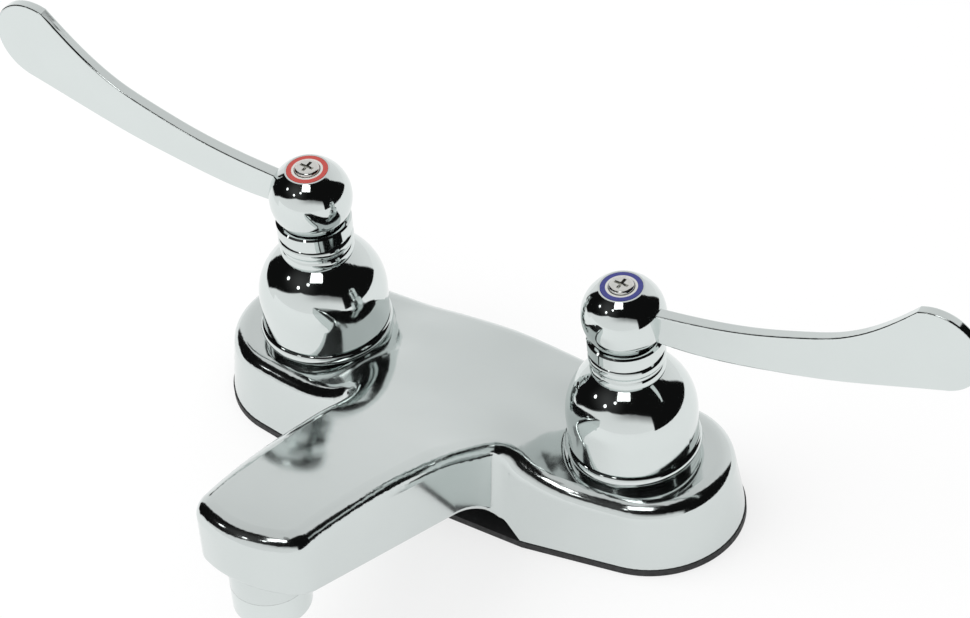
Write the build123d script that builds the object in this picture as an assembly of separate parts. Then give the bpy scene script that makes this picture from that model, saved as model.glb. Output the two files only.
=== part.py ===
"""Two-handle bathroom faucet on four inch centres, with ball-topped wrist-blade handles.

The origin lies on the deck, under the middle of the base. +X points to the cold handle,
the spout points along -Y and +Z is up. All lengths are in millimetres.
"""
import math
import os

from build123d import *

# Deck, gasket and base plan
centres = 101.6
gasket_thickness = 2.0
gasket_proud = 0.25
lobe_offset = 4.9
lobe_radius = 25.0
front_depth = 29.3
front_half_width = 31.0
base_height = 20.0
wall_draft = 6.5
front_corner_radius = 15.0
base_wall = 3.2
base_roof = 3.5

# Spout: plan, side view and edges
tip_half_width = 17.4
tip_corner_margin = 6.3
tip_bulge = 5.9
tip_corner_radius = 8.0
root_half_width = 20.9
root_reach = 43.6
flare_half_width = 27.4
flare_reach = 20.0
flare_turn = 0.49
root_corner_radius = 4.0
back_height = 26.9
tip_top_height = 62.4
tip_depth = 17.9
tip_overrun = 2.0
arch_height = 19.5
arch_middle_reach = 35.3
arch_middle_height = 15.0
arch_turn = 0.62
top_edge_radius = 5.0
tip_lower_radius = 1.5

# Top of the body. The crest of the spout, as shares of its reach and of its rise. The fall from
# the crest to the lobes, as (place along Y, half width at half height, softness)
crest_shares = ((-0.3, -0.03), (0, 0.07), (0.22, 0.25), (0.40, 0.48), (0.59, 0.71), (0.75, 0.87), (1, 1))
fall_rows = ((-44.0, 40.0, 5.0), (-30.0, 28.2, 5.0), (-12.0, 31.0, 5.0), (0.0, 29.5, 5.5), (25.0, 25.0, 9.0))
seat_depth = 0.3
seat_margin = 0.5
surface_step = 10.0
crest_samples = 200
surface_fit = 0.05

# Opening under the root of the spout
arch_half_width = 24.5
arch_rise = 6.6
arch_slope = 0.94
arch_corner = 4.0

# Waterway
waterway_radius = 5.0
waterway_wall = 2.6
waterway_bend_share = 0.46
waterway_drop = 3.0
crossway_radius = 4.2
crossway_wall = 2.8
crossway_height = 14.0

# Aerator
aerator_reach = 99.0
aerator_radius = 10.7
aerator_length = 9.3
boss_drop = 0.25
aerator_edge = 1.8
aerator_thread_radius = 9.5
aerator_thread_length = 6.0
aerator_bore = 8.2
aerator_lip = 0.8
aerator_lip_thickness = 1.0
insert_length = 7.6
insert_hole_radius = 0.75
insert_ring_holes = (1, 6, 12)
insert_ring_pitch = 2.9
washer_thickness = 2.0
washer_bore = 6.5

# Valve post, shank and thread stretches
post_radius = 13.2
post_top = 36.0
chamber_floor = 8.0
chamber_radius = 9.1
ledge_height = 28.0
nut_bore_radius = 11.1
shank_plain_radius = 10.8
shank_plain_length = 14.0
shank_thread_radius = 10.4
relief_radius = 9.7
relief_top = -34.0
relief_width = 1.5
shank_length = 48.0
inlet_radius = 5.5
end_chamfer = 0.8

# Under the deck
shank_washer_radius = 17.0
shank_washer_thickness = 2.0
mounting_nut_flats = 30.0
mounting_nut_height = 8.0
mounting_nut_top = -25.0

# Bonnet
foot_radius = 17.9
foot_height = 2.2
bead_radius = 18.7
bead_height = 3.2
groove_width = 0.7
groove_depth = 0.9
dome_radius = 18.1
dome_centre = 36.6
dome_wall = 1.8
ring_height = 3.2
collar_height = 4.4
neck_foot_radius = 9.9
collar_radius = 10.6
neck_bulge = 0.5
collar_bevel = 0.5
bonnet_thread_depth = 9.0
hub_recess_radius = 9.4
hub_recess_floor = 58.0

# Handle
hub_radius = 11.6
hub_centre = 71.2
hub_flat = 80.9
hub_stub_radius = 8.2
hub_gap = 0.8
blade_reach = 104.2
blade_root_height = 9.8
blade_root_thickness = 3.8
blade_tip_thickness = 2.9
blade_edge = 0.6
paddle_radius = 13.0
paddle_rise = 20.6
paddle_top_turn = 110.0
paddle_bottom_turn = -75.0
blade_root_slant = 0.7
hot_blade_yaw = 180.0
cold_blade_yaw = 5.0

# Upper and lower line of the blade, as (share of the way to the paddle, height above the hub centre)
blade_upper_line = ((0.23, 5.2), (0.42, 7.8), (0.58, 11.7), (0.70, 15.6), (0.81, 21.6), (0.895, 28.0))
blade_lower_line = ((0.81, 2.6), (0.66, -0.7), (0.48, -3.5), (0.31, -5.4), (0.18, -5.7))

# Index ring and handle screw
index_radius = 5.8
index_recess = 1.2
index_proud = 0.1
index_seat_depth = 0.8
screw_head_radius = 3.5
screw_head_height = 1.8
screw_radius = 2.0
screw_length = 19.0
cross_width = 0.9
cross_span = 4.2
cross_depth = 1.2

# Stem and cartridge
stem_radius = 3.9
stem_foot_radius = 6.8
stem_foot_height = 2.8
spline_teeth = 12
spline_depth = 0.6
spline_length = 10.0
spline_top = 68.0
seal_groove_height = 45.0
seal_groove_width = 1.2
seal_groove_depth = 0.9
cartridge_radius = 9.0
cartridge_cavity = 7.7
cartridge_flange_radius = 10.6
cartridge_flange_height = 2.0
cartridge_neck_radius = 6.4
cartridge_neck_top = 57.0
cartridge_window = 7.0
cartridge_nut_flats = 21.0
cartridge_nut_height = 5.0
disc_radius = 7.45
disc_height = 2.4
disc_port_inner = 2.4
disc_port_outer = 6.0
disc_port_angle = 76.0
seat_seal_height = 3.0

# Clearances, overshoot of cuts, overlap of joined shapes, and how near counts as the same place
running_fit = 0.05
thread_fit = 0.1
loose_fit = 0.4
seat_gap = 0.05
stud_hole_fit = 1.1
overcut = 1.0
overlap = 1.0
near = 0.01

# Heights and places that follow from the sizes above
handle_x = centres / 2
lobe_x = handle_x + lobe_offset
base_bottom = gasket_thickness
base_top = base_bottom + base_height
cavity_top = base_top - base_roof
neck_bottom = dome_centre + math.sqrt(dome_radius ** 2 - neck_foot_radius ** 2)
tip_corner_reach = aerator_reach + tip_corner_margin
tip_front = tip_corner_reach + tip_bulge
tip_bottom_height = tip_top_height - tip_depth
underside_slope = (tip_bottom_height - arch_height) / (tip_front + tip_overrun - root_reach)
boss_bottom = arch_height + underside_slope * (aerator_reach - aerator_radius - root_reach) - boss_drop
aerator_bottom = boss_bottom - aerator_length
fixed_disc_bottom = chamber_floor + seat_seal_height + seat_gap
moving_disc_bottom = fixed_disc_bottom + disc_height + seat_gap
stem_bottom = moving_disc_bottom + disc_height
cavity_ceiling = stem_bottom + stem_foot_height + 4 * seat_gap
collar_top = neck_bottom + 2 * ring_height + 2 * groove_width + collar_height
index_bottom = hub_flat - index_recess
index_top = hub_flat + index_proud
screw_seat = index_top - index_seat_depth
hub_bottom = hub_recess_floor + hub_gap


def cylinder_between(radius, bottom, top):
    """A cylinder on the Z axis from one height to another."""
    return Pos(0, 0, bottom) * Cylinder(radius, top - bottom, align=(Align.CENTER, Align.CENTER, Align.MIN))


def ring_between(outer, inner, bottom, top):
    """A tube on the Z axis."""
    return cylinder_between(outer, bottom, top) - cylinder_between(inner, bottom - overcut, top + overcut)


def hexagon_between(flats, bottom, top):
    """A hexagonal prism on the Z axis."""
    outline = RegularPolygon(flats / 2, 6, major_radius=False)
    return Pos(0, 0, bottom) * extrude(outline, top - bottom)


def turned(points):
    """A solid of revolution from a closed outline of (radius, height) points."""
    with BuildSketch(Plane.XZ) as outline:
        with BuildLine():
            Polyline(*points, close=True)
        make_face()
    return revolve(outline.sketch, Axis.Z)


def lobed_outline(grow=0.0):
    """The plan of the base: two round lobes, joined by straight sides and a fuller front."""
    radius = lobe_radius + grow
    corner = (front_half_width, -front_depth - grow)
    toward_corner = math.atan2(corner[1], corner[0] - lobe_x)
    touch = toward_corner + math.acos(radius / math.hypot(corner[0] - lobe_x, corner[1]))
    with BuildSketch() as plan:
        with BuildLine():
            Line((0, corner[1]), corner)
            lobe = CenterArc((lobe_x, 0), radius, math.degrees(touch), 90 - math.degrees(touch))
            Line(corner, lobe @ 0)
            Line(lobe @ 1, (0, radius))
            mirror(about=Plane.YZ)
        make_face()
    return plan.sketch


def base_block():
    """The drafted base, taller than the top surface that trims it."""
    outline = lobed_outline()
    corners = [v for v in outline.vertices() if abs(v.Y + front_depth) < near]
    outline = fillet(corners, front_corner_radius)
    return Pos(0, 0, base_bottom) * extrude(outline, tip_top_height, taper=wall_draft)


def spout_plan():
    """Plan of the spout: bowed tip, straight sides and a root that flares into the base."""
    bow_radius = (tip_half_width ** 2 + tip_bulge ** 2) / (2 * tip_bulge)
    half_sag = bow_radius - math.sqrt(bow_radius ** 2 - (tip_half_width / 2) ** 2)
    with BuildSketch() as plan:
        with BuildLine():
            tip = ThreePointArc((0, -tip_front), (tip_half_width / 2, -tip_front + half_sag),
                                (tip_half_width, -tip_corner_reach))
            side = Line(tip @ 1, (root_half_width, -root_reach))
            flare = Spline(side @ 1, (flare_half_width, -flare_reach), tangents=[side % 1, (flare_turn, 1)])
            end = Line(flare @ 1, (flare_half_width, -flare_reach / 2))
            Line(end @ 1, (0, -flare_reach / 2))
            mirror(about=Plane.YZ)
        make_face()
        corners = [v for v in plan.vertices() if abs(v.Y + tip_corner_reach) < near]
        fillet(corners, tip_corner_radius)
    return Pos(0, 0, base_bottom) * extrude(plan.sketch, 2 * tip_top_height)


def between(rows, place, column):
    """Value of one column of rows at a place, with a soft change from row to row."""
    if place <= rows[0][0]:
        return rows[0][column]
    for near, far in zip(rows, rows[1:]):
        if place <= far[0]:
            share = (place - near[0]) / (far[0] - near[0])
            share = share * share * (3 - 2 * share)
            return near[column] + share * (far[column] - near[column])
    return rows[-1][column]


def crest_heights():
    """Side view of the crest as (place along Y, height), from the tip to behind the base."""
    reach = tip_front + tip_overrun
    rise = tip_top_height - back_height
    crest = Edge.make_spline([Vector(0, -share * reach, back_height + lift * rise)
                              for share, lift in crest_shares])
    points = [crest @ (step / crest_samples) for step in range(crest_samples + 1)]
    return sorted((point.Y, point.Z) for point in points)


def top_surface():
    """Top of the body: the crest of the spout, which falls softly to the level of the lobes."""
    crest = crest_heights()
    lobe_top = base_top + seat_depth
    half_length = lobe_x + lobe_radius + surface_step
    front = -tip_front - tip_overrun
    depth = lobe_radius + surface_step - front
    columns = 2 * round(half_length / surface_step)
    rows = round(depth / surface_step)
    grid = []
    for row in range(rows + 1):
        y = front + depth * row / rows
        rise = between(crest, y, 1) - lobe_top
        half_width = between(fall_rows, y, 1)
        softness = between(fall_rows, y, 2)
        line = []
        for column in range(columns + 1):
            x = half_length * (2 * column / columns - 1)
            share = (1 + math.exp(-half_width / softness)) / (1 + math.exp((abs(x) - half_width) / softness))
            line.append(Vector(x, y, lobe_top + rise * share))
        grid.append(line)
    return Face.make_surface_from_array_of_points(grid, tol=surface_fit, min_deg=3)


def underside_cut():
    """Everything below the spout and in front of the base."""
    tip_end = (-tip_front - tip_overrun, tip_bottom_height)
    root = (-root_reach, arch_height)
    with BuildSketch(Plane.YZ) as view:
        with BuildLine():
            Line(tip_end, root)
            arch = Spline(root, (-arch_middle_reach, arch_middle_height),
                          (-front_depth, base_bottom + arch_rise),
                          tangents=[(1, -underside_slope), (arch_turn, -1)])
            wall = Line(arch @ 1, (-front_depth, -overcut))
            floor = Line(wall @ 1, (-tip_front - tip_overrun, -overcut))
            Line(floor @ 1, tip_end)
        make_face()
    return extrude(view.sketch, lobe_x, both=True)


def outer_block():
    """Outside of the casting: base and spout under one top surface, with soft edges."""
    block = base_block() + spout_plan()
    roots = [e for e in block.edges() if is_root_corner(e)]
    block = fillet(roots, root_corner_radius)
    block = block - extrude(top_surface(), 2 * tip_top_height, dir=(0, 0, 1))
    roof = block.faces().filter_by(GeomType.BSPLINE).sort_by(SortBy.AREA)[-1]
    block = fillet(roof.edges(), top_edge_radius)
    block = block - underside_cut()
    lower = [e for e in block.edges() if is_tip_underside(e)]
    block = fillet(lower, tip_lower_radius)
    for side in (-1, 1):
        seat = cylinder_between(bead_radius + seat_margin, base_top, 2 * base_top)
        block = block - Pos(side * handle_x) * seat
    return block


def is_root_corner(edge):
    """True for the upright edges where the flare of the spout meets the front of the base."""
    middle = edge @ 0.5
    upright = abs((edge % 0.5).Z) > math.cos(math.radians(2 * wall_draft))
    on_flare = root_half_width < abs(middle.X) < flare_half_width
    return upright and on_flare and middle.Y < -flare_reach - near


def is_tip_underside(edge):
    """True for the edges around the underside of the spout."""
    box = edge.bounding_box()
    middle = edge @ 0.5
    under = arch_height + underside_slope * (-middle.Y - root_reach)
    return abs(middle.Z - under) < tip_lower_radius / 2 and box.max.Y < -root_reach + near


def tube_along(radius, points):
    """A round bar along straight runs, with ball corners."""
    result = Pos(*points[0]) * Sphere(radius)
    for start, end in zip(points, points[1:]):
        run = Vector(*end) - Vector(*start)
        bar = Plane(origin=start, z_dir=run) * Cylinder(radius, run.length,
                                                        align=(Align.CENTER, Align.CENTER, Align.MIN))
        result = result + bar + Pos(*end) * Sphere(radius)
    return result


def waterway_route():
    """Centre line of the waterway from the crossway to above the aerator."""
    crest_height = back_height + waterway_bend_share * (tip_top_height - back_height)
    bend_height = (arch_height + crest_height) / 2
    end_height = (tip_top_height + tip_bottom_height) / 2 - waterway_drop
    return [(0, 0, crossway_height), (0, -root_reach, bend_height), (0, -aerator_reach, end_height)]


def shank():
    """Plain root, thread, relief groove and free threaded end below the deck."""
    relief_bottom = relief_top - relief_width
    points = [(0, base_bottom + overlap), (shank_plain_radius, base_bottom + overlap),
              (shank_plain_radius, -shank_plain_length), (shank_thread_radius, -shank_plain_length),
              (shank_thread_radius, relief_top), (relief_radius, relief_top),
              (relief_radius, relief_bottom), (shank_thread_radius, relief_bottom),
              (shank_thread_radius, -shank_length + end_chamfer),
              (shank_thread_radius - end_chamfer, -shank_length), (0, -shank_length)]
    return turned(points)


def valve_bore():
    """Inlet, valve chamber and threaded mouth, cut into each post."""
    return (cylinder_between(inlet_radius, -shank_length - overcut, chamber_floor + overlap)
            + cylinder_between(chamber_radius, chamber_floor, ledge_height + overlap)
            + cylinder_between(nut_bore_radius, ledge_height, post_top + overcut))


def front_window():
    """Opening in the front wall of the base, wider at the deck, below the root of the spout."""
    foot = arch_half_width + arch_slope * (arch_rise + overcut)
    with BuildSketch(Plane.XZ.offset(front_depth - base_wall - 2 * overcut)) as view:
        with BuildLine():
            Polyline((-arch_half_width, base_bottom + arch_rise), (arch_half_width, base_bottom + arch_rise),
                     (foot, base_bottom - overcut), (-foot, base_bottom - overcut), close=True)
        make_face()
        fillet(view.vertices().sort_by(Axis.Y)[-2:], arch_corner)
    return extrude(view.sketch, base_wall + 3 * overcut)


def body():
    """One casting: base, spout, valve posts and shanks, hollow underneath."""
    outer = outer_block()
    cavity = extrude(lobed_outline(-base_wall), cavity_top - base_bottom + overcut, taper=wall_draft)
    cavity = Pos(0, 0, base_bottom - overcut) * cavity
    hollow = cavity + front_window()

    route = waterway_route()
    crossway_ends = [(-handle_x, 0, crossway_height), (handle_x, 0, crossway_height)]
    water_walls = tube_along(crossway_radius + crossway_wall, crossway_ends)
    water_walls = water_walls + tube_along(waterway_radius + waterway_wall, route[:2])
    result = outer - hollow + (water_walls & outer)

    for side in (-1, 1):
        post = cylinder_between(post_radius, base_bottom, post_top)
        result = result + Pos(side * handle_x) * (post + shank())
    boss = cylinder_between(aerator_radius, boss_bottom, tip_bottom_height + 2 * overlap)
    result = result + Pos(0, -aerator_reach) * boss

    result = result - tube_along(crossway_radius, crossway_ends)
    result = result - tube_along(waterway_radius, route)
    outlet = (cylinder_between(aerator_thread_radius + thread_fit, boss_bottom - overcut,
                               boss_bottom + aerator_thread_length + washer_thickness + 2 * seat_gap)
              + cylinder_between(waterway_radius, boss_bottom, route[-1][2]))
    result = result - Pos(0, -aerator_reach) * outlet
    for side in (-1, 1):
        result = result - Pos(side * handle_x) * valve_bore()
    return result


def deck_gasket():
    """Flat rubber sheet under the base, with a hole for each shank."""
    sheet = extrude(lobed_outline(gasket_proud), gasket_thickness)
    for side in (-1, 1):
        hole = cylinder_between(shank_plain_radius + stud_hole_fit, -overcut, gasket_thickness + overcut)
        sheet = sheet - Pos(side * handle_x) * hole
    return sheet


def aerator_housing():
    """Chromed ring that screws into the boss under the spout tip."""
    thread_top = boss_bottom + aerator_thread_length
    shell = cylinder_between(aerator_radius, aerator_bottom, boss_bottom - seat_gap)
    shell = fillet(shell.edges().sort_by(Axis.Z)[0], aerator_edge)
    lip_top = aerator_bottom + aerator_lip_thickness
    shell = shell + cylinder_between(aerator_thread_radius, boss_bottom - overlap, thread_top)
    shell = shell - cylinder_between(aerator_bore, lip_top, thread_top + overcut)
    return shell - cylinder_between(aerator_bore - aerator_lip, aerator_bottom - overcut, lip_top + overlap)


def aerator_insert():
    """Plastic flow straightener with rings of round holes."""
    bottom = aerator_bottom + aerator_lip_thickness + seat_gap
    top = bottom + insert_length
    core = cylinder_between(aerator_bore - thread_fit, bottom, top)
    hole = cylinder_between(insert_hole_radius, bottom - overcut, top + overcut)
    for ring, count in enumerate(insert_ring_holes):
        holes = PolarLocations(ring * insert_ring_pitch, count) if ring else Locations((0, 0))
        for place in holes:
            core = core - place * hole
    return core


def aerator_washer():
    """Flat rubber washer between the aerator and the boss."""
    bottom = boss_bottom + aerator_thread_length + seat_gap
    return ring_between(aerator_thread_radius - thread_fit, washer_bore, bottom, bottom + washer_thickness)


def bonnet():
    """Turned dome with a beaded foot and a ringed neck, threaded over the valve post."""
    foot_bottom = base_top + seat_gap
    bead_bottom = foot_bottom + foot_height
    bead_top = bead_bottom + bead_height
    dome_bottom = bead_top + groove_width
    waist = (neck_bottom + dome_centre) / 2
    ring_one = neck_bottom + ring_height
    ring_two = ring_one + groove_width + ring_height
    collar_bottom = ring_two + groove_width + collar_bevel
    with BuildSketch(Plane.XZ) as section:
        with BuildLine():
            Line((0, foot_bottom), (foot_radius, foot_bottom))
            Line((foot_radius, foot_bottom), (foot_radius, bead_bottom))
            ThreePointArc((foot_radius, bead_bottom), (bead_radius, (bead_bottom + bead_top) / 2),
                          (foot_radius, bead_top))
            Line((foot_radius, bead_top), (foot_radius - groove_depth, bead_top))
            Line((foot_radius - groove_depth, bead_top), (foot_radius - groove_depth, dome_bottom))
            Line((foot_radius - groove_depth, dome_bottom), (foot_radius, dome_bottom))
            Line((foot_radius, dome_bottom), (dome_radius, dome_centre))
            ThreePointArc((dome_radius, dome_centre),
                          (math.sqrt(dome_radius ** 2 - (waist - dome_centre) ** 2), waist),
                          (neck_foot_radius, neck_bottom))
            ThreePointArc((neck_foot_radius, neck_bottom),
                          (neck_foot_radius + neck_bulge, (neck_bottom + ring_one) / 2),
                          (neck_foot_radius, ring_one))
            Line((neck_foot_radius, ring_one), (neck_foot_radius, ring_one + groove_width))
            ThreePointArc((neck_foot_radius, ring_one + groove_width),
                          (collar_radius, (ring_one + groove_width + ring_two) / 2),
                          (neck_foot_radius, ring_two))
            Line((neck_foot_radius, ring_two), (neck_foot_radius, ring_two + groove_width))
            Line((neck_foot_radius, ring_two + groove_width), (collar_radius, collar_bottom))
            Line((collar_radius, collar_bottom), (collar_radius, collar_top - collar_bevel))
            Line((collar_radius, collar_top - collar_bevel), (collar_radius - collar_bevel, collar_top))
            Line((collar_radius - collar_bevel, collar_top), (0, collar_top))
            Line((0, collar_top), (0, foot_bottom))
        make_face()
    shell = revolve(section.sketch, Axis.Z)
    thread_top = foot_bottom + bonnet_thread_depth
    inner_radius = dome_radius - dome_wall
    room = cylinder_between(dome_radius, thread_top, neck_bottom)
    room = Pos(0, 0, dome_centre) * Sphere(inner_radius) & room
    room = room + cylinder_between(post_radius + thread_fit, foot_bottom - overcut, thread_top + overlap)
    room = room + cylinder_between(cartridge_neck_radius + loose_fit, dome_centre, collar_top + overcut)
    room = room + cylinder_between(hub_recess_radius, hub_recess_floor, collar_top + overcut)
    return shell - room


def blade_outline():
    """Side view of the wrist blade: a slim root that rises into a round paddle."""
    paddle_x = blade_reach - paddle_radius
    paddle_z = hub_centre + paddle_rise
    half_root = blade_root_height / 2
    start = hub_radius / 2

    def on_paddle(angle):
        turn = math.radians(angle)
        return (paddle_x + paddle_radius * math.cos(turn), paddle_z + paddle_radius * math.sin(turn))

    def along(line):
        return [(paddle_x * share, hub_centre + rise) for share, rise in line]

    top_start = (start, hub_centre + half_root - blade_root_slant)
    bottom_start = (start, hub_centre - half_root)
    top_end = on_paddle(paddle_top_turn)
    bottom_end = on_paddle(paddle_bottom_turn)
    with BuildSketch(Plane.XZ) as outline:
        with BuildLine():
            Spline(top_start, *along(blade_upper_line), top_end)
            ThreePointArc(top_end, on_paddle((paddle_top_turn + paddle_bottom_turn) / 2), bottom_end)
            Spline(bottom_end, *along(blade_lower_line), bottom_start)
            Line(bottom_start, top_start)
        make_face()
    return outline.sketch


def blade():
    """The wrist blade: its side view cut from a plate that thins towards the paddle."""
    plate = extrude(blade_outline(), blade_root_thickness, both=True)
    end = blade_reach + overcut
    with BuildSketch() as wedge:
        with BuildLine():
            Polyline((0, -blade_root_thickness / 2), (end, -blade_tip_thickness / 2),
                     (end, blade_tip_thickness / 2), (0, blade_root_thickness / 2), close=True)
        make_face()
    solid = plate & extrude(wedge.sketch, 2 * hub_centre)
    faces = solid.faces().sort_by(Axis.Y)
    rims = list(faces[0].edges()) + list(faces[-1].edges())
    outer = [e for e in rims if e.bounding_box().max.X > hub_radius / 2 + overlap]
    return fillet(outer, blade_edge)


def spline_outline(grow=0.0):
    """Star outline of the splined stem head."""
    points = []
    for step in range(2 * spline_teeth):
        radius = stem_radius + grow - (spline_depth if step % 2 else 0.0)
        turn = math.pi * step / spline_teeth
        points.append((radius * math.cos(turn), radius * math.sin(turn)))
    with BuildSketch() as outline:
        with BuildLine():
            Polyline(*points, close=True)
        make_face()
    return outline.sketch


def handle(yaw):
    """Ball hub with its stub and wrist blade, one casting, bored for the stem and the screw."""
    hub = Pos(0, 0, hub_centre) * Sphere(hub_radius)
    hub = hub & cylinder_between(2 * hub_radius, hub_centre - 2 * hub_radius, hub_flat)
    hub = hub + cylinder_between(hub_stub_radius, hub_bottom, hub_centre)
    solid = hub + Rot(0, 0, yaw) * blade()
    socket = extrude(spline_outline(running_fit), spline_top + seat_gap - hub_bottom + overcut)
    solid = solid - Pos(0, 0, hub_bottom - overcut) * socket
    solid = solid - cylinder_between(screw_radius + thread_fit, hub_bottom, hub_flat + overcut)
    return solid - cylinder_between(index_radius + running_fit, index_bottom, hub_flat + overcut)


def index_ring():
    """Coloured disc on the hub, sunk around the screw head."""
    disc = cylinder_between(index_radius, index_bottom, index_top)
    disc = chamfer(disc.edges().sort_by(Axis.Z)[-1], index_proud)
    disc = disc - cylinder_between(screw_radius + thread_fit, index_bottom - overcut, index_top + overcut)
    return disc - cylinder_between(screw_head_radius + 4 * running_fit, screw_seat, index_top + overcut)


def handle_screw():
    """Pan-head screw with a cross recess that holds the handle on the stem."""
    head = cylinder_between(screw_head_radius, screw_seat, screw_seat + screw_head_height)
    head = fillet(head.edges().sort_by(Axis.Z)[-1], screw_head_height / 2)
    cross = Box(cross_span, cross_width, 2 * cross_depth) + Box(cross_width, cross_span, 2 * cross_depth)
    head = head - Pos(0, 0, screw_seat + screw_head_height) * cross
    return head + cylinder_between(screw_radius, screw_seat - screw_length, screw_seat + overlap / 2)


def stem():
    """Spindle: driving foot on the moving disc, round shaft, seal groove and splined head."""
    spline_bottom = spline_top - spline_length
    groove_top = seal_groove_height + seal_groove_width
    points = [(0, stem_bottom), (stem_foot_radius, stem_bottom),
              (stem_foot_radius, stem_bottom + stem_foot_height),
              (stem_radius, stem_bottom + stem_foot_height),
              (stem_radius, seal_groove_height), (stem_radius - seal_groove_depth, seal_groove_height),
              (stem_radius - seal_groove_depth, groove_top), (stem_radius, groove_top),
              (stem_radius, spline_bottom), (0, spline_bottom)]
    solid = turned(points) + Pos(0, 0, spline_bottom) * extrude(spline_outline(), spline_length)
    screw_end = screw_seat - screw_length
    return solid - cylinder_between(screw_radius + running_fit, screw_end - overcut, spline_top + overcut)


def stem_seal():
    """Rubber ring in the groove of the stem."""
    thickness = seal_groove_depth - 2 * running_fit
    centre = (stem_radius - seal_groove_depth + running_fit + thickness / 2,
              seal_groove_height + seal_groove_width / 2)
    with BuildSketch(Plane.XZ) as section:
        with Locations(centre):
            Circle(thickness / 2)
    return revolve(section.sketch, Axis.Z)


def cartridge(side):
    """Brass valve body: barrel with side windows, flange and long neck around the stem."""
    barrel_bottom = chamber_floor + 4 * seat_gap
    flange_top = ledge_height + cartridge_flange_height
    solid = (cylinder_between(cartridge_radius, barrel_bottom, ledge_height)
             + cylinder_between(cartridge_flange_radius, ledge_height, flange_top)
             + cylinder_between(cartridge_neck_radius, flange_top, cartridge_neck_top))
    solid = solid - cylinder_between(cartridge_cavity, barrel_bottom - overcut, cavity_ceiling)
    solid = solid - cylinder_between(stem_radius + running_fit, cavity_ceiling - overlap,
                                     cartridge_neck_top + overcut)
    window = Box(cartridge_radius, cartridge_window, cartridge_window)
    return solid - Pos(-side * cartridge_radius, 0, crossway_height) * window


def cartridge_nut():
    """Nut that holds the cartridge down in its post."""
    bottom = ledge_height + cartridge_flange_height + seat_gap
    solid = cylinder_between(nut_bore_radius - thread_fit, bottom, post_top)
    solid = solid + hexagon_between(cartridge_nut_flats, post_top, post_top + cartridge_nut_height)
    return solid - cylinder_between(cartridge_neck_radius + running_fit, bottom - overcut,
                                    post_top + cartridge_nut_height + overcut)


def ceramic_disc(bottom, turn):
    """Ceramic disc with two opposite ports."""
    disc = cylinder_between(disc_radius, bottom, bottom + disc_height)
    half = math.radians(disc_port_angle / 2)
    for start in (turn, turn + 180):
        with BuildSketch() as port:
            with BuildLine():
                inner_a = (disc_port_inner * math.cos(-half), disc_port_inner * math.sin(-half))
                inner_b = (disc_port_inner * math.cos(half), disc_port_inner * math.sin(half))
                outer_a = (disc_port_outer * math.cos(-half), disc_port_outer * math.sin(-half))
                outer_b = (disc_port_outer * math.cos(half), disc_port_outer * math.sin(half))
                Line(inner_a, outer_a)
                ThreePointArc(outer_a, (disc_port_outer, 0), outer_b)
                Line(outer_b, inner_b)
                ThreePointArc(inner_b, (disc_port_inner, 0), inner_a)
            make_face()
        slot = Pos(0, 0, bottom - overcut) * extrude(port.sketch, disc_height + 2 * overcut)
        disc = disc - Rot(0, 0, start) * slot
    return disc


def seat_seal():
    """Rubber seal between the chamber floor and the fixed disc."""
    bottom = chamber_floor + seat_gap / 2
    return ring_between(disc_radius, inlet_radius, bottom, bottom + seat_seal_height)


def shank_washer():
    """Flat washer under the deck."""
    return ring_between(shank_washer_radius, shank_thread_radius + loose_fit, mounting_nut_top,
                        mounting_nut_top + shank_washer_thickness)


def mounting_nut():
    """Hexagonal nut that clamps the deck."""
    bottom = mounting_nut_top - mounting_nut_height
    solid = hexagon_between(mounting_nut_flats, bottom, mounting_nut_top)
    return solid - cylinder_between(shank_thread_radius + thread_fit, bottom - overcut,
                                    mounting_nut_top + overcut)


def side_pieces(side, yaw):
    """Every piece that stands on one handle axis."""
    pieces = {
        "bonnet": bonnet(),
        "handle": handle(yaw),
        "index_ring": index_ring(),
        "handle_screw": handle_screw(),
        "stem": stem(),
        "stem_seal": stem_seal(),
        "moving_disc": ceramic_disc(moving_disc_bottom, 90),
        "fixed_disc": ceramic_disc(fixed_disc_bottom, 0),
        "seat_seal": seat_seal(),
        "cartridge": cartridge(side),
        "cartridge_nut": cartridge_nut(),
        "shank_washer": shank_washer(),
        "mounting_nut": mounting_nut(),
    }
    return {name: Pos(side * handle_x) * piece for name, piece in pieces.items()}


def main():
    os.makedirs("parts", exist_ok=True)
    export_step(body(), "parts/body.step")
    export_step(deck_gasket(), "parts/deck_gasket.step")
    outlet = Pos(0, -aerator_reach)
    export_step(outlet * aerator_housing(), "parts/aerator_housing.step")
    export_step(outlet * aerator_insert(), "parts/aerator_insert.step")
    export_step(outlet * aerator_washer(), "parts/aerator_washer.step")
    for label, side, yaw in (("hot", -1, hot_blade_yaw), ("cold", 1, cold_blade_yaw)):
        for name, piece in side_pieces(side, yaw).items():
            export_step(piece, f"parts/{label}_{name}.step")


main()
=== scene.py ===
"""Looks of the two-handle bathroom faucet: finishes, small details, studio and camera.

Lengths are in metres, in the frame of the CAD part: +X points to the cold handle,
the spout points along -Y and the deck lies at z = 0.
"""

import math

import bpy
from mathutils import Matrix, Vector


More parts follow.
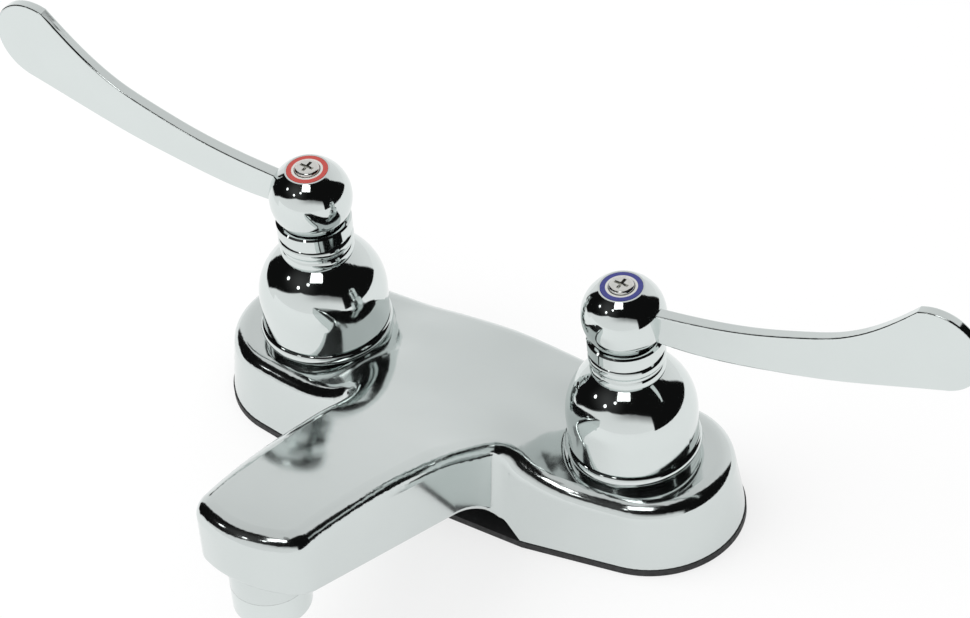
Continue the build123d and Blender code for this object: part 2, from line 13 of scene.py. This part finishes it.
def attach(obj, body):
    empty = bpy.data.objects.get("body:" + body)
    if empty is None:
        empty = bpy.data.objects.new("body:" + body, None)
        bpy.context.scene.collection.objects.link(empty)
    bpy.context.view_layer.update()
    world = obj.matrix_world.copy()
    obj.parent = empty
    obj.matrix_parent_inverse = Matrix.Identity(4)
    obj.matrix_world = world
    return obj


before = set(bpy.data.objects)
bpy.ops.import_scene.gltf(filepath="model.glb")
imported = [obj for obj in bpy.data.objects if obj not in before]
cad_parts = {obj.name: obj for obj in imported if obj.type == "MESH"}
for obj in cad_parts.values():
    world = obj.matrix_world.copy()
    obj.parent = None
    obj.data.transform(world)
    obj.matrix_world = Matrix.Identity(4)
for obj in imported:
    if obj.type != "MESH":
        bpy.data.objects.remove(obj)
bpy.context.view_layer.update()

# sizes taken over from the CAD part
handle_x = 0.0508
thread_root = 0.0104

# sizes of what is drawn here
cap_radius = 0.0043
cap_edge = 0.00015
thread_height = 0.0003
thread_pitch = 0.001814
thread_sink = 0.0001
thread_foot_share = 0.42
thread_crest_share = 0.10
thread_stretches = (("upper", -0.0149, -0.0221), ("lower", -0.0364, -0.0464))


# node helpers
def new_material(name):
    """A node material with a Principled shader and its output."""
    mat = bpy.data.materials.new(name)
    mat.use_nodes = True
    tree = mat.node_tree
    shader = tree.nodes["Principled BSDF"]
    return mat, tree, shader


def noise(tree, scale, detail=3.0, roughness=0.5, stretch=(1, 1, 1)):
    """Noise over the object's own coordinates, so that it moves with the piece."""
    coords = tree.nodes.new("ShaderNodeTexCoord")
    mapping = tree.nodes.new("ShaderNodeMapping")
    mapping.inputs["Scale"].default_value = stretch
    tex = tree.nodes.new("ShaderNodeTexNoise")
    tex.inputs["Scale"].default_value = scale
    tex.inputs["Detail"].default_value = detail
    tex.inputs["Roughness"].default_value = roughness
    tree.links.new(coords.outputs["Object"], mapping.inputs["Vector"])
    tree.links.new(mapping.outputs["Vector"], tex.inputs["Vector"])
    return tex.outputs["Fac"]


def spread(tree, value, low, high, source=(0.3, 0.7)):
    """Maps a 0 to 1 value to a range."""
    node = tree.nodes.new("ShaderNodeMapRange")
    node.inputs["From Min"].default_value = source[0]
    node.inputs["From Max"].default_value = source[1]
    node.inputs["To Min"].default_value = low
    node.inputs["To Max"].default_value = high
    tree.links.new(value, node.inputs["Value"])
    return node.outputs["Result"]


def bump(tree, shader, height, strength, distance, under=None):
    """Bump from a height value, on top of an earlier bump where one is given."""
    node = tree.nodes.new("ShaderNodeBump")
    node.inputs["Strength"].default_value = strength
    node.inputs["Distance"].default_value = distance
    tree.links.new(height, node.inputs["Height"])
    if under is not None:
        tree.links.new(under, node.inputs["Normal"])
    tree.links.new(node.outputs["Normal"], shader.inputs["Normal"])
    return node.outputs["Normal"]


def tint(tree, shader, value, dark, light):
    """Base colour that wanders between two near tones."""
    mix = tree.nodes.new("ShaderNodeMix")
    mix.data_type = "RGBA"
    mix.inputs["A"].default_value = (*dark, 1)
    mix.inputs["B"].default_value = (*light, 1)
    tree.links.new(value, mix.inputs["Factor"])
    tree.links.new(mix.outputs["Result"], shader.inputs["Base Color"])
    return mix


# finishes
def chrome(name, dark, light, low, high):
    """Bright chrome plate with a faint waviness, between two tones and two values of roughness."""
    mat, tree, shader = new_material(name)
    shader.inputs["Metallic"].default_value = 1.0
    tint(tree, shader, noise(tree, 60, 4), dark, light)
    tree.links.new(spread(tree, noise(tree, 220, 5), low, high), shader.inputs["Roughness"])
    wave = bump(tree, shader, noise(tree, 38, 1), 0.05, 0.0008)
    bump(tree, shader, noise(tree, 1800, 2), 0.015, 0.0001, wave)
    return mat


def screw_steel():
    """Plated steel with a light brushed grain."""
    mat, tree, shader = new_material("screw_steel")
    shader.inputs["Metallic"].default_value = 1.0
    tint(tree, shader, noise(tree, 900, 4), (0.66, 0.66, 0.63), (0.80, 0.80, 0.77))
    tree.links.new(spread(tree, noise(tree, 1500, 4), 0.08, 0.18), shader.inputs["Roughness"])
    bump(tree, shader, noise(tree, 2500, 3), 0.08, 0.0001)
    return mat


def brass():
    """Machined brass with turning marks round its axis."""
    mat, tree, shader = new_material("brass")
    shader.inputs["Metallic"].default_value = 1.0
    tint(tree, shader, noise(tree, 120, 5), (0.62, 0.40, 0.15), (0.78, 0.55, 0.25))
    tree.links.new(spread(tree, noise(tree, 300, 4), 0.22, 0.42), shader.inputs["Roughness"])
    bump(tree, shader, noise(tree, 1400, 3, stretch=(0.05, 0.05, 1)), 0.25, 0.0001)
    return mat


def rubber():
    """Matt black rubber with a fine grain."""
    mat, tree, shader = new_material("rubber")
    tint(tree, shader, noise(tree, 500, 4), (0.010, 0.010, 0.011), (0.022, 0.022, 0.023))
    tree.links.new(spread(tree, noise(tree, 700, 4), 0.5, 0.75), shader.inputs["Roughness"])
    bump(tree, shader, noise(tree, 2200, 3), 0.25, 0.0002)
    return mat


def ceramic():
    """Ground white ceramic."""
    mat, tree, shader = new_material("ceramic")
    tint(tree, shader, noise(tree, 400, 3), (0.80, 0.79, 0.76), (0.87, 0.86, 0.84))
    tree.links.new(spread(tree, noise(tree, 600, 3), 0.25, 0.4), shader.inputs["Roughness"])
    bump(tree, shader, noise(tree, 1800, 3), 0.08, 0.0001)
    return mat


def white_plastic():
    """Moulded off-white plastic."""
    mat, tree, shader = new_material("white_plastic")
    tint(tree, shader, noise(tree, 300, 3), (0.74, 0.74, 0.71), (0.80, 0.80, 0.78))
    tree.links.new(spread(tree, noise(tree, 500, 3), 0.32, 0.48), shader.inputs["Roughness"])
    bump(tree, shader, noise(tree, 1600, 3), 0.1, 0.0001)
    return mat


def index_plastic(name, side, dark, light):
    """Coloured rim round a clear, milky middle, on a disc round one handle axis."""
    mat, tree, shader = new_material(name)
    colour = tint(tree, shader, noise(tree, 700, 3), dark, light)
    coords = tree.nodes.new("ShaderNodeTexCoord")
    centred = tree.nodes.new("ShaderNodeVectorMath")
    centred.operation = "SUBTRACT"
    centred.inputs[1].default_value = (side * handle_x, 0, 0)
    flat = tree.nodes.new("ShaderNodeVectorMath")
    flat.operation = "MULTIPLY"
    flat.inputs[1].default_value = (1, 1, 0)
    length = tree.nodes.new("ShaderNodeVectorMath")
    length.operation = "LENGTH"
    tree.links.new(coords.outputs["Object"], centred.inputs[0])
    tree.links.new(centred.outputs["Vector"], flat.inputs[0])
    tree.links.new(flat.outputs["Vector"], length.inputs[0])
    rim = spread(tree, length.outputs["Value"], 0, 1, (cap_radius, cap_radius + cap_edge))
    middle = tree.nodes.new("ShaderNodeMix")
    middle.data_type = "RGBA"
    middle.inputs["A"].default_value = (0.62, 0.62, 0.59, 1)
    tree.links.new(rim, middle.inputs["Factor"])
    tree.links.new(colour.outputs["Result"], middle.inputs["B"])
    tree.links.new(middle.outputs["Result"], shader.inputs["Base Color"])
    tree.links.new(spread(tree, noise(tree, 900, 3), 0.18, 0.32), shader.inputs["Roughness"])
    shader.inputs["Coat Weight"].default_value = 0.4
    bump(tree, shader, noise(tree, 1500, 2), 0.08, 0.0001)
    return mat


finishes = {
    "chrome": chrome("chrome", (0.665, 0.711, 0.702), (0.702, 0.749, 0.739), 0.04, 0.08),
    "screw_steel": screw_steel(),
    "brass": brass(),
    "rubber": rubber(),
    "ceramic": ceramic(),
    "white_plastic": white_plastic(),
    "red_plastic": index_plastic("red_plastic", -1, (0.42, 0.028, 0.02), (0.5, 0.045, 0.03)),
    "blue_plastic": index_plastic("blue_plastic", 1, (0.012, 0.016, 0.16), (0.02, 0.028, 0.24)),
}

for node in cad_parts.values():
    for place in node.material_slots:
        place.material = finishes[place.material.name.split(".")[0]]
cast_chrome = chrome("cast_chrome", (0.626, 0.669, 0.661), (0.661, 0.704, 0.696), 0.09, 0.13)
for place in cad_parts["body"].material_slots:
    place.material = cast_chrome


# threads of the shanks
def mesh_object(name, vertices, faces):
    """A new object with a plain mesh."""
    mesh = bpy.data.meshes.new(name)
    mesh.from_pydata(vertices, [], faces)
    mesh.update()
    obj = bpy.data.objects.new(name, mesh)
    bpy.context.scene.collection.objects.link(obj)
    return obj


def thread_ridge(name, x, top, bottom):
    """Right-hand helical ridge on a shank, which runs out to nothing at both ends."""
    turn_steps = 48
    steps = round((top - bottom) / thread_pitch * turn_steps)
    foot = thread_foot_share * thread_pitch
    crest = thread_crest_share * thread_pitch
    vertices, faces = [], []
    for step in range(steps + 1):
        z = top - thread_pitch * step / turn_steps
        turn = 2 * math.pi * z / thread_pitch
        rise = thread_height * min(step, steps - step, turn_steps / 2) / (turn_steps / 2)
        for radius, lift in ((thread_root - thread_sink, foot), (thread_root + rise, crest),
                             (thread_root + rise, -crest), (thread_root - thread_sink, -foot)):
            vertices.append((x + radius * math.cos(turn), radius * math.sin(turn), z + lift))
    for step in range(steps):
        for side in range(4):
            here, beside = 4 * step + side, 4 * step + (side + 1) % 4
            faces.append((here, beside, beside + 4, here + 4))
    faces += [(3, 2, 1, 0), tuple(range(4 * steps, 4 * steps + 4))]
    obj = mesh_object(name, vertices, faces)
    obj.data.materials.append(cast_chrome)
    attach(obj, "faucet")


for prefix, side in (("hot", -1), ("cold", 1)):
    for stretch, top, bottom in thread_stretches:
        thread_ridge(f"{prefix}_{stretch}_thread", side * handle_x, top, bottom)


# studio
studio_centre = Vector((0, 0, 0.04))
studio_radius = 1.2
card_gap = 0.02
edge_softness = 0.8
dark_level = 0.006
haze_level = 0.05
lamp_strength = 3.0
lamp_corners = 16
floor_height = -0.0002
floor_white_share = 0.72
sky_light = 0.8

# borders of the dark front, as (azimuth, elevation) in degrees seen from the faucet
lower_edge = [(-180, -90), (-118, -90), (-112, -20), (-100, -14), (-85, -9), (-75, -8), (-60, 4), (-48, 10),
              (-34, 17), (-20, 25), (-12, 29), (5, 30), (30, 32), (45, 30), (62, 23), (69, 19),
              (69.5, -90), (180, -90)]
upper_edge = [(-180, -90), (-108, -60), (-103, 0), (-96, 30), (-85, 48), (-65, 60), (-50, 72), (100, 72),
              (132, 62), (139, 45), (143, 25), (152, 8), (160, -10), (166, -60), (180, -90)]


def along_edge(edge, azimuth):
    """Height of a studio edge at one azimuth."""
    for (az0, el0), (az1, el1) in zip(edge, edge[1:]):
        if az0 <= azimuth <= az1:
            return el0 + (el1 - el0) * (azimuth - az0) / (az1 - az0)
    return edge[-1][1]


def smooth(value, low, high):
    """Soft step from 0 at low to 1 at high."""
    share = min(max((value - low) / (high - low), 0), 1)
    return share * share * (3 - 2 * share)


def hump(value, middle, reach):
    """Soft hump that falls to nothing at its reach."""
    return 1 - smooth(abs(value - middle), 0, reach)


def studio_shade(azimuth, elevation):
    """Brightness of the studio in one direction: pale walls, and a dark front above the paper."""
    wall = 0.74 + 0.18 * smooth(-elevation, -70, 10)
    low = along_edge(lower_edge, azimuth)
    high = along_edge(upper_edge, azimuth)
    above = smooth(elevation, low - edge_softness, low + edge_softness)
    below = 1 - smooth(elevation, high - edge_softness, high + edge_softness)
    dark = above * below
    paper = wall
    if -10 < azimuth < 69.5:
        fade = smooth(azimuth, -10, 40)
        paper = wall * (1 - fade * 0.65 * (1 - smooth(low - elevation, 0, 16)))
    haze = haze_level * hump(azimuth, -22, 50) * hump(elevation, 44, 30)
    return paper * (1 - dark) + (dark_level + haze) * dark


def direction(azimuth, elevation):
    """Unit vector for an azimuth, counted from -Y towards +X, and an elevation."""
    az, el = math.radians(azimuth), math.radians(elevation)
    return Vector((math.sin(az) * math.cos(el), -math.cos(az) * math.cos(el), math.sin(el)))


def only_in_reflections(obj):
    """Part of the studio that the camera and the floor don't see, only the chrome."""
    obj.visible_camera = False
    obj.visible_diffuse = False
    obj.visible_transmission = False
    obj.visible_volume_scatter = False
    obj.visible_shadow = False


def glow(name, strength):
    """Plain emission for the parts of the studio that only reflections show."""
    mat = bpy.data.materials.new(name)
    mat.use_nodes = True
    tree = mat.node_tree
    tree.nodes.clear()
    shader = tree.nodes.new("ShaderNodeEmission")
    shader.inputs["Strength"].default_value = strength
    out = tree.nodes.new("ShaderNodeOutputMaterial")
    tree.links.new(shader.outputs["Emission"], out.inputs["Surface"])
    return mat, tree, shader


def surround():
    """Shell of the studio round the faucet, seen only in the chrome."""
    steps_az, steps_el = 240, 120
    vertices, shades, faces = [], [], []
    for row in range(steps_el + 1):
        elevation = -90 + 180 * row / steps_el
        for column in range(steps_az + 1):
            azimuth = -180 + 360 * column / steps_az
            vertices.append(studio_centre + studio_radius * direction(azimuth, elevation))
            shades.append(studio_shade(azimuth, elevation))
    for row in range(steps_el):
        for column in range(steps_az):
            corner = row * (steps_az + 1) + column
            faces.append((corner, corner + steps_az + 1, corner + steps_az + 2, corner + 1))
    shell = mesh_object("studio_shell", vertices, faces)
    layer = shell.data.attributes.new("shade", "FLOAT", "POINT")
    layer.data.foreach_set("value", shades)
    mat, tree, shader = glow("studio_shell", 1.0)
    reader = tree.nodes.new("ShaderNodeAttribute")
    reader.attribute_name = "shade"
    tree.links.new(reader.outputs["Fac"], shader.inputs["Strength"])
    shell.data.materials.append(mat)
    only_in_reflections(shell)


def card(name, corners, strength):
    """Flat lamp or card at given directions from the middle of the studio."""
    reach = studio_radius - card_gap
    points = [studio_centre + reach * direction(*corner) for corner in corners]
    obj = mesh_object(name, points, [tuple(range(len(points)))])
    mat, _, _ = glow(name, strength)
    obj.data.materials.append(mat)
    only_in_reflections(obj)


def lamp(name, azimuth, elevation, half_angle):
    """Small round lamp, seen as a bright dot."""
    corners = []
    for step in range(lamp_corners):
        turn = 2 * math.pi * step / lamp_corners
        sideways = half_angle * math.cos(turn) / math.cos(math.radians(elevation))
        corners.append((azimuth + sideways, elevation + half_angle * math.sin(turn)))
    card(name, corners, lamp_strength)


def seen_directly(tree):
    """1 for camera, glossy and transmission rays, 0 for light that falls on the object."""
    path = tree.nodes.new("ShaderNodeLightPath")
    total = path.outputs["Is Camera Ray"]
    for ray in ("Is Glossy Ray", "Is Transmission Ray"):
        add = tree.nodes.new("ShaderNodeMath")
        add.operation = "ADD"
        tree.links.new(total, add.inputs[0])
        tree.links.new(path.outputs[ray], add.inputs[1])
        total = add.outputs["Value"]
    return total


def paper_floor():
    """Pale floor round the faucet, cut short where the chrome shows a dark room."""
    outline = []
    for step in range(180):
        azimuth = -180 + 2 * step
        reach = 1.15
        if -114 < azimuth < -58:
            reach = 0.30
        elif 68 < azimuth < 162:
            reach = 0.50
        turn = math.radians(azimuth)
        outline.append((math.sin(turn) * reach, -math.cos(turn) * reach, floor_height))
    floor = mesh_object("floor", outline, [tuple(range(len(outline)))])
    mat = bpy.data.materials.new("floor")
    mat.use_nodes = True
    tree = mat.node_tree
    tree.nodes.clear()
    share = tree.nodes.new("ShaderNodeMath")
    share.operation = "MULTIPLY"
    share.inputs[1].default_value = floor_white_share
    tree.links.new(seen_directly(tree), share.inputs[0])
    paper = tree.nodes.new("ShaderNodeBsdfDiffuse")
    paper.inputs["Color"].default_value = (0.96, 0.96, 0.96, 1)
    white = tree.nodes.new("ShaderNodeEmission")
    mix = tree.nodes.new("ShaderNodeMixShader")
    out = tree.nodes.new("ShaderNodeOutputMaterial")
    tree.links.new(share.outputs["Value"], mix.inputs[0])
    tree.links.new(paper.outputs["BSDF"], mix.inputs[1])
    tree.links.new(white.outputs["Emission"], mix.inputs[2])
    tree.links.new(mix.outputs["Shader"], out.inputs["Surface"])
    floor.data.materials.append(mat)


def sky():
    """White surroundings: full white where seen, a little less as light."""
    world = bpy.data.worlds.new("studio")
    bpy.context.scene.world = world
    world.use_nodes = True
    tree = world.node_tree
    background = tree.nodes["Background"]
    strength = spread(tree, seen_directly(tree), sky_light, 1.0, (0, 1))
    tree.links.new(strength, background.inputs["Strength"])
    background.inputs["Color"].default_value = (1, 1, 1, 1)


def soft_light():
    """One large soft lamp from the upper left, which gives the floor its shadow."""
    data = bpy.data.lights.new("softbox", "AREA")
    data.shape = "RECTANGLE"
    data.size = 0.9
    data.size_y = 0.7
    data.energy = 6.0
    obj = bpy.data.objects.new("softbox", data)
    bpy.context.scene.collection.objects.link(obj)
    obj.location = (-0.55, -0.35, 1.0)
    obj.rotation_mode = "QUATERNION"
    obj.rotation_quaternion = (obj.location - studio_centre).to_track_quat("Z", "Y")
    obj.visible_glossy = False


surround()
lamp("lamp_left", -51.5, 32.0, 2.6)
lamp("lamp_middle", -21.4, 34.5, 2.6)
lamp("lamp_right", -3.2, 47.0, 2.4)
card("lamp_window", [(-12, 66), (40, 69), (36, 54), (0, 51)], lamp_strength)
paper_floor()
sky()
soft_light()


# camera
def photo_camera():
    """Long lens from the right and above, where the photograph was taken from."""
    azimuth, elevation, roll = (math.radians(a) for a in (37.34, 41.96, -6.19))
    distance, side, lift = 1.3614, 0.00302, 0.0082
    focal_share = 4961.83 / 970
    right = Vector((math.cos(azimuth), math.sin(azimuth), 0))
    back = Vector((math.sin(azimuth) * math.cos(elevation), -math.cos(azimuth) * math.cos(elevation),
                   math.sin(elevation)))
    up = back.cross(right)
    across = math.cos(roll) * right + math.sin(roll) * up
    upward = -math.sin(roll) * right + math.cos(roll) * up
    place = studio_centre + back * distance + across * side + upward * lift
    data = bpy.data.cameras.new("photo_camera")
    data.sensor_width = 36
    data.sensor_fit = "HORIZONTAL"
    data.lens = 36 * focal_share
    data.clip_start = 0.05
    data.clip_end = 20
    camera = bpy.data.objects.new("photo_camera", data)
    bpy.context.scene.collection.objects.link(camera)
    turn = Matrix((across, upward, back)).transposed()
    camera.matrix_world = Matrix.Translation(place) @ turn.to_4x4()
    bpy.context.scene.camera = camera


photo_camera()
bpy.context.scene.view_settings.view_transform = "Standard"
